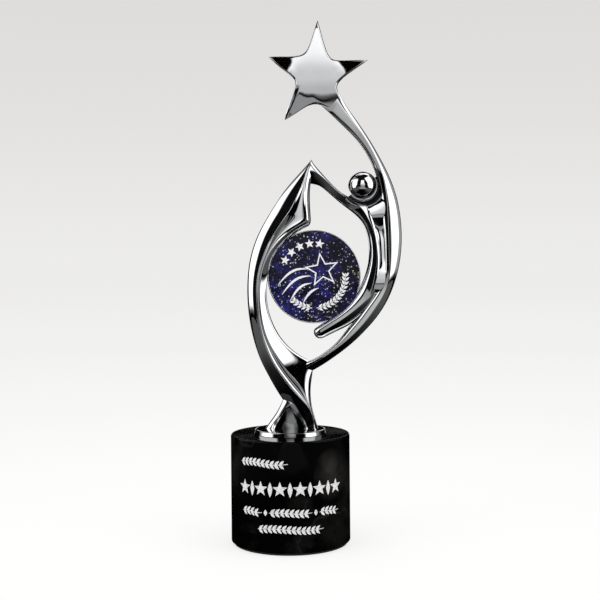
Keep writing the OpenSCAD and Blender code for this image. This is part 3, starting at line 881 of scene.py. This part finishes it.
def medallion_insert():
    """The glitter disc, a little domed."""
    low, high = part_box("medallion_insert")
    front, back = -low.y / MM, -high.y / MM
    r, brim, dome = HOLDER_R - 0.62, front - 0.2, 0.35
    profile = [[AXIS_R, back], [r, back], [r, brim]]
    profile += [[r * math.cos(a), brim + dome * math.sin(a)] for a in np.linspace(0, math.pi / 2, 24)[1:]]
    return piece(lathe("glitter_insert", profile, GLITTER, 256, facing_front), "glitter_print",
                 "medallion_insert")


# ---------- printed and engraved marks

def polar(cx, cz, r, degrees):
    """The point at a distance and an angle from a centre."""
    a = math.radians(degrees)
    return np.array([cx + r * math.cos(a), cz + r * math.sin(a)])


def five_star(cx, cz, r, turn=0.0, cut=1):
    """A filled star as a fan: its centre, then its outline with each side cut in equal parts."""
    waist = 0.42 * r
    corners = [polar(cx, cz, waist if k % 2 else r, 90 + turn + 36 * k) for k in range(10)]
    ring = [c + (d - c) * j / cut for c, d in zip(corners, corners[1:] + corners[:1]) for j in range(cut)]
    n = len(ring)
    return [np.array([cx, cz])] + ring, [(0, 1 + k, 1 + (k + 1) % n) for k in range(n)]


def diamond(cx, cz, w, h):
    """A diamond with hollow sides, as a fan."""
    n = 16
    ring = []
    for t in np.linspace(0, 2 * math.pi, n, endpoint=False):
        c, s = math.cos(t), math.sin(t)
        ring.append(np.array([cx + w * c * abs(c) ** 0.6, cz + h * s * abs(s) ** 0.6]))
    return [np.array([cx, cz])] + ring, [(0, 1 + k, 1 + (k + 1) % n) for k in range(n)]


def leaf(cx, cz, length, width, turn):
    """A pointed leaf that starts at cx, cz."""
    t = np.linspace(0, 1, 9)
    c, s = math.cos(math.radians(turn)), math.sin(math.radians(turn))
    half = width / 2 * np.sin(math.pi * t ** 0.8)
    top, low = ([np.array([cx + length * u * c - w * s, cz + length * u * s + w * c])
                 for u, w in zip(t, side)] for side in (half, -half))
    points = top + low[1:-1]
    n = len(top)
    middle = [(k, n + k - 1, n + k, k + 1) for k in range(1, n - 2)]
    return points, [(0, n, 1)] + middle + [(n - 2, 2 * n - 3, n - 1)]


def stroke(line, wide, thin):
    """A pen line, thin at its ends and wide in its middle."""
    line = np.array(line, float)
    way = np.gradient(line, axis=0)
    way /= np.maximum(np.linalg.norm(way, axis=1), 1e-9)[:, None]
    side = np.column_stack([-way[:, 1], way[:, 0]])
    t = np.linspace(0, 1, len(line))
    half = (thin + (wide - thin) * np.sin(math.pi * t)) / 2
    left, right = line + side * half[:, None], line - side * half[:, None]
    n = len(line)
    return list(left) + list(right), [(k, n + k, n + k + 1, k + 1) for k in range(n - 1)]


def marks(name, shapes, place, mat):
    """Thin inlays: each flat shape made solid and set into a surface by place(x, z, height)."""
    depth, lift = 0.1, 0.05
    points, faces = [], []
    for flat, cells in shapes:
        n, start = len(flat), len(points)
        points += [np.array(place(x, z, lift)) * MM for x, z in flat]
        points += [np.array(place(x, z, lift - depth)) * MM for x, z in flat]
        edges = {}
        for cell in cells:
            faces.append(tuple(start + k for k in cell))
            faces.append(tuple(start + n + k for k in cell[::-1]))
            for e in zip(cell, cell[1:] + cell[:1]):
                edges[e] = True
        for i, j in edges:
            if (j, i) not in edges:
                faces.append((start + j, start + i, start + n + i, start + n + j))
    return new_object(name, points, faces, mat, smooth=False)


STAR_ARC_R = 18.2
STAR_STEP = 17.5
WREATH_R = 17.2
WREATH_STEP = 7.4
TRAILS = [[(-3.2, 4.2), (-9, 4.6), (-14.5, 1.8), (-19.6, -4.2)],
          [(-1.8, 0.4), (-7.6, 0.2), (-12.8, -3.2), (-17.6, -9.6)],
          [(-1.6, -3.6), (-6, -4.2), (-9.8, -7.4), (-13.2, -13.2)],
          [(2.4, -6.2), (-0.8, -7.4), (-3.6, -9.8), (-6, -14.2)]]


def emblem():
    """Five small stars over an open star with a trail, and a wreath."""
    cx, cz = MEDAL
    shapes = []
    for k in range(5):
        x, z = polar(cx, cz, STAR_ARC_R, 150 - STAR_STEP * k)
        shapes.append(five_star(x, z, 2.7, 60 - STAR_STEP * k))
    outer, inner = (five_star(cx + 4.4, cz + 3.6, r, 8)[0][1:] for r in (9.8, 7.9))
    shapes.append((outer + inner, [(k, (k + 1) % 10, 10 + (k + 1) % 10, 10 + k) for k in range(10)]))
    for trail in TRAILS:
        shapes.append(stroke(spline([(cx + x, cz + z) for x, z in trail], 9), 1.25, 0.25))
    for side, leaves in ((1, 12), (-1, 5)):
        turns = -90 + side * np.arange(4, 8 + WREATH_STEP * leaves, 2)
        shapes.append(stroke([polar(cx, cz, WREATH_R, t) for t in turns], 0.5, 0.4))
        for k in range(leaves):
            t = -90 + side * (8 + WREATH_STEP * k)
            x, z = polar(cx, cz, WREATH_R, t)
            shapes.append(leaf(x, z, 3.0, 1.15, t + 90 * side + 40))
            shapes.append(leaf(x, z, 3.0, 1.15, t + 90 * side - 40))
    front = -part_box("medallion_insert")[0].y / MM + 0.15

    def place(x, z, h):
        return (x, -(front + h), z)
    return piece(marks("emblem_print", shapes, place, PRINT), "glitter_print")


def spray(x0, x1, z, wave):
    """A row of leaves in pairs along a stem that waves up and down once."""
    size, pitch = 3.3, 0.78 * 3.3

    def stem(x):
        return z + wave * math.sin((x - x0) / (x1 - x0) * 2 * math.pi)
    shapes = [stroke([(x, stem(x)) for x in np.linspace(x0, x1, 40)], 0.45, 0.3)]
    for k in range(int((x1 - x0 - 1.5) / pitch)):
        x = x0 + 0.8 + k * pitch
        shapes += [leaf(x, stem(x), size, size * 0.44, turn) for turn in (42, -42)]
    return shapes


def drum_marks():
    """Four rows on the drum's front: sprays of leaves, and one bold row of stars and diamonds."""
    row_1, row_2, row_3, row_4 = 48.0, 34.6, 22.3, 13.6
    shapes = spray(-29.5, -1.0, row_1, 0.5)
    for k in range(11):
        x = 5.36 * (k - 5)
        if k % 2 == 0:
            shapes.append(five_star(x, row_2 + 0.1, 4.1, cut=3))
        else:
            shapes.append(diamond(x, row_2 - 0.1, 1.3, 3.9))
    for x0, x1 in ((-28.5, -15.5), (-11.3, 11.7), (16.0, 28.8)):
        shapes += spray(x0, x1, row_3, 0.3)
    for x in (-13.4, 13.8):
        shapes.append(diamond(x, row_3, 1.0, 1.6))
    shapes += spray(-18.0, 18.4, row_4, 0.5)
    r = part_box("stone_base")[1].x / MM

    def place(x, z, h):
        a = x / r
        return ((r + h) * math.sin(a), -(r + h) * math.cos(a), z)
    return piece(marks("drum_inlay", shapes, place, ENGRAVING), "black_marble")


HARDWARE = ("threaded_rod", "flat_washer", "lock_washer", "hex_nut", "star_pin", "head_pin",
            "medallion_pins")
for node in HARDWARE:
    mesh = frame["nodes"][node].data
    mesh.materials.clear()
    mesh.materials.append(STEEL)

piece(union("sweep_casting", [sweep_blade(), strut(), web()]), "chrome", "left_sweep")
piece(figure(), "chrome", "right_figure")
piece(star(), "chrome", "star")
stone_base()
flange()
pad()
ball()
medallion_holder()
medallion_insert()
emblem()
drum_marks()


# ---------- studio

# The panels are laid out in metres and degrees of azimuth, 0 at the front and positive to the right.
SIDE_BOX_R = 0.36
FRONT_BOX_Y = -0.78
BACK_BOX_Y = 0.8


def inside(x, low, high, soft):
    """1 between low and high, falling smoothly to 0 at each end."""
    return ease(x, low, low + soft) * (1 - ease(x, high - soft, high))


def glow_material():
    """Emission as strong as each panel's own glow attribute says."""
    mat = bpy.data.materials.new("studio_glow")
    mat.use_nodes = True
    tree = mat.node_tree
    tree.nodes.clear()
    out = tree.nodes.new("ShaderNodeOutputMaterial")
    glow = tree.nodes.new("ShaderNodeEmission")
    value = tree.nodes.new("ShaderNodeAttribute")
    value.attribute_name = "glow"
    tree.links.new(value.outputs["Fac"], glow.inputs["Strength"])
    tree.links.new(glow.outputs[0], out.inputs["Surface"])
    return mat


GLOW = glow_material()


def panel(name, columns, rows, at, glow):
    """A soft-edged light panel that shows only in reflections. at places a column and row value, and
    glow gives the light there."""
    points = [at(u, v) for v in rows for u in columns]
    n = len(columns)
    faces = [(j * n + i, j * n + i + 1, (j + 1) * n + i + 1, (j + 1) * n + i)
             for j in range(len(rows) - 1) for i in range(n - 1)]
    mesh = bpy.data.meshes.new(name)
    mesh.from_pydata(points, [], faces)
    mesh.materials.append(GLOW)
    layer = mesh.attributes.new("glow", "FLOAT", "POINT")
    layer.data.foreach_set("value", [max(glow(u, v), 0.0) for v in rows for u in columns])
    obj = add_object(name, mesh)
    obj.visible_camera = False
    obj.visible_diffuse = False
    obj.visible_shadow = False
    obj.visible_transmission = False


def beside(azimuth, z):
    """A point of the side panels, which curve round the trophy."""
    a = math.radians(azimuth)
    return (SIDE_BOX_R * math.sin(a), -SIDE_BOX_R * math.cos(a), z)


def upright_at(y):
    """Places a panel's points on an upright plane."""
    return lambda x, z: (x, y, z)


def level_at(z):
    """Places a panel's points on a level plane."""
    return lambda x, y: (x, y, z)


def left_glow(az, z):
    top = 0.58 - 0.0028 * max(-az - 60, 0)
    far = -114 - 6 * ease(z, 0.1, 0.2)
    near = -58 + 14 * ease(z, 0.1, 0.25)
    level = 1.5 - 1.2 * ease(z, top - 0.05, top)
    level *= ease(z, 0.075, 0.1) * (1 - ease(z, 0.63, 0.69))
    return level * inside(az, far - 4, near + 4, 9)


def right_glow(az, z):
    start = 55 - 9 * ease(z, 0.08, 0.2) - 15 * ease(z, 0.2, 0.6)
    level = 1.5 - 1.16 * ease(az, 86, 95)
    level *= ease(z, 0.075, 0.1) * (1 - ease(z, 0.68, 0.76))
    return level * ease(az, start - 4, start + 4) * (1 - ease(az, 120, 128))


def front_glow(x, z):
    level = 0.5 + 0.15 * ease(z, 0.14, 0.22) + 0.5 * ease(z, 0.24, 0.42)
    level *= 1 - 0.5 * ease(-x, 0.09, 0.17) * (1 - ease(z, 0.25, 0.35))
    level *= ease(z, 0.105, 0.12) * (1 - ease(z, 0.78, 0.86))
    half = 0.27 - 0.07 * ease(z, 0.28, 0.42)
    return level * inside(x, -half, half + 0.01, 0.04)


def low_glow(x, z):
    return 0.28 * inside(x, -0.2, 0.24, 0.05) * (1 - ease(z, 0.08, 0.095))


def table_glow(x, y):
    r = math.hypot(x, y)
    sides = 0.09 * ease(abs(x), 0.05, 0.25) * ease(r, 0.06, 0.3)
    ahead = 0.28 * (1 - ease(y, -0.34, -0.28)) * inside(x, -0.2, 0.24, 0.05)
    return (sides + ahead) * (1 - ease(y, 0.1, 0.25))


def back_glow(x, z):
    """Two bands with a dark gap, which is what the drum's top mirrors towards the front."""
    bands = inside(z, -0.02, 0.17, 0.02) + inside(z, 0.26, 0.85, 0.06)
    return 0.8 * bands * inside(x, -0.37, 0.37, 0.1)


grid = np.linspace
panel("left_box", np.arange(-160, -39, 3.0), grid(0.06, 0.70, 65), beside, left_glow)
panel("right_box", np.arange(24, 132, 3.0), grid(0.06, 0.78, 73), beside, right_glow)
panel("front_box", grid(-0.3, 0.32, 32), grid(0.1, 0.88, 79), upright_at(FRONT_BOX_Y), front_glow)
panel("front_low", grid(-0.3, 0.34, 33), grid(0, 0.1, 21), upright_at(FRONT_BOX_Y), low_glow)
panel("table_glow", grid(-0.8, 0.8, 81), grid(-0.8, 0.4, 61), level_at(0.0004), table_glow)
panel("back_box", grid(-0.38, 0.38, 20), grid(0.002, 0.85, 86), upright_at(BACK_BOX_Y), back_glow)
panel("top_strip", grid(-0.5, 0.5, 3), grid(0.20, 0.27, 3), level_at(0.75), lambda x, y: 1.3)


def floor():
    """Pale paper that glows with a painted pool of light, brightest towards the trophy, and keeps a faint
    shadow at its foot.
    """
    half, z = 9.0, -0.0001
    mesh = bpy.data.meshes.new("floor")
    mesh.from_pydata([(-half, -half, z), (half, -half, z), (half, half, z), (-half, half, z)], [],
                     [(0, 1, 2, 3)])
    obj = add_object("floor", mesh)
    m = Finish("floor", Roughness=0.6, Specular_IOR_Level=0.0)
    m.colour(m.ramp(m.noise(3.0), (0.3, (0.93, 0.93, 0.93)), (0.7, (0.95, 0.95, 0.95))))
    out = m.tree.nodes["Material Output"]
    far = m.node("VectorMath")
    far.operation = "LENGTH"
    m.link(m.coord, far.inputs[0])
    distance = m.span(far.outputs["Value"], 0.0, 5.0, 0.0, 1.0)
    # Painted light: the paper's colour, given out as glow, is brightest at the trophy and dims outwards.
    paper = m.ramp(distance, (0.0, (1.0, 1.0, 0.995)), (0.06, (0.965, 0.965, 0.96)),
                   (0.12, (0.93, 0.93, 0.925)), (0.26, (0.885, 0.883, 0.878)),
                   (0.7, (0.852, 0.848, 0.842)), (1.0, (0.845, 0.84, 0.835)))
    glow = m.node("Emission")
    m.link(paper, glow.inputs["Color"])
    join = m.node("MixShader")
    m.link(m.span(far.outputs["Value"], 0.05, 0.5, 0.72, 1.0), join.inputs[0])
    m.link(m.shader.outputs[0], join.inputs[1])
    m.link(glow.outputs[0], join.inputs[2])
    m.link(join.outputs[0], out.inputs["Surface"])
    mesh.materials.append(m.mat)
    obj.visible_glossy = False


floor()


def area_light(name, place, target, side, power):
    """A square light that lights matt surfaces only."""
    data = bpy.data.lights.new(name, "AREA")
    data.shape = "SQUARE"
    data.size = side
    data.energy = power
    obj = add_object(name, data)
    obj.location = place
    aim = Vector(target) - Vector(place)
    obj.rotation_euler = aim.to_track_quat("-Z", "Y").to_euler()
    obj.visible_camera = False
    obj.visible_glossy = False


area_light("top_light", (0, -0.1, 1.5), (0, 0, 0), 1.6, 8)
area_light("left_light", (-1.0, -0.5, 0.7), (0, 0, 0.12), 0.8, 3)
area_light("right_light", (1.0, -0.5, 0.7), (0, 0, 0.12), 0.8, 3)


def world():
    """Pale to the camera, dark to reflections, so that only the panels show in the chrome."""
    w = bpy.data.worlds.new("studio")
    bpy.context.scene.world = w
    w.use_nodes = True
    t = w.node_tree
    t.nodes.clear()
    out = t.nodes.new("ShaderNodeOutputWorld")
    path = t.nodes.new("ShaderNodeLightPath")
    coord = t.nodes.new("ShaderNodeTexCoord")
    split = t.nodes.new("ShaderNodeSeparateXYZ")
    ramp = t.nodes.new("ShaderNodeValToRGB")
    t.links.new(coord.outputs["Generated"], split.inputs[0])
    t.links.new(split.outputs["Z"], ramp.inputs["Fac"])
    e = ramp.color_ramp.elements
    e[0].position, e[0].color = 0.0, (0.845, 0.84, 0.835, 1)
    e[1].position, e[1].color = 0.22, (0.73, 0.716, 0.70, 1)
    middle = e.new(0.12)
    middle.color = (0.765, 0.755, 0.745, 1)
    pale = t.nodes.new("ShaderNodeBackground")
    dark = t.nodes.new("ShaderNodeBackground")
    dark.inputs["Color"].default_value = (0.004, 0.004, 0.0045, 1)
    join = t.nodes.new("ShaderNodeMixShader")
    t.links.new(ramp.outputs["Color"], pale.inputs["Color"])
    t.links.new(path.outputs["Is Glossy Ray"], join.inputs[0])
    t.links.new(pale.outputs[0], join.inputs[1])
    t.links.new(dark.outputs[0], join.inputs[2])
    t.links.new(join.outputs[0], out.inputs["Surface"])


world()
bpy.context.scene.view_settings.view_transform = "Standard"
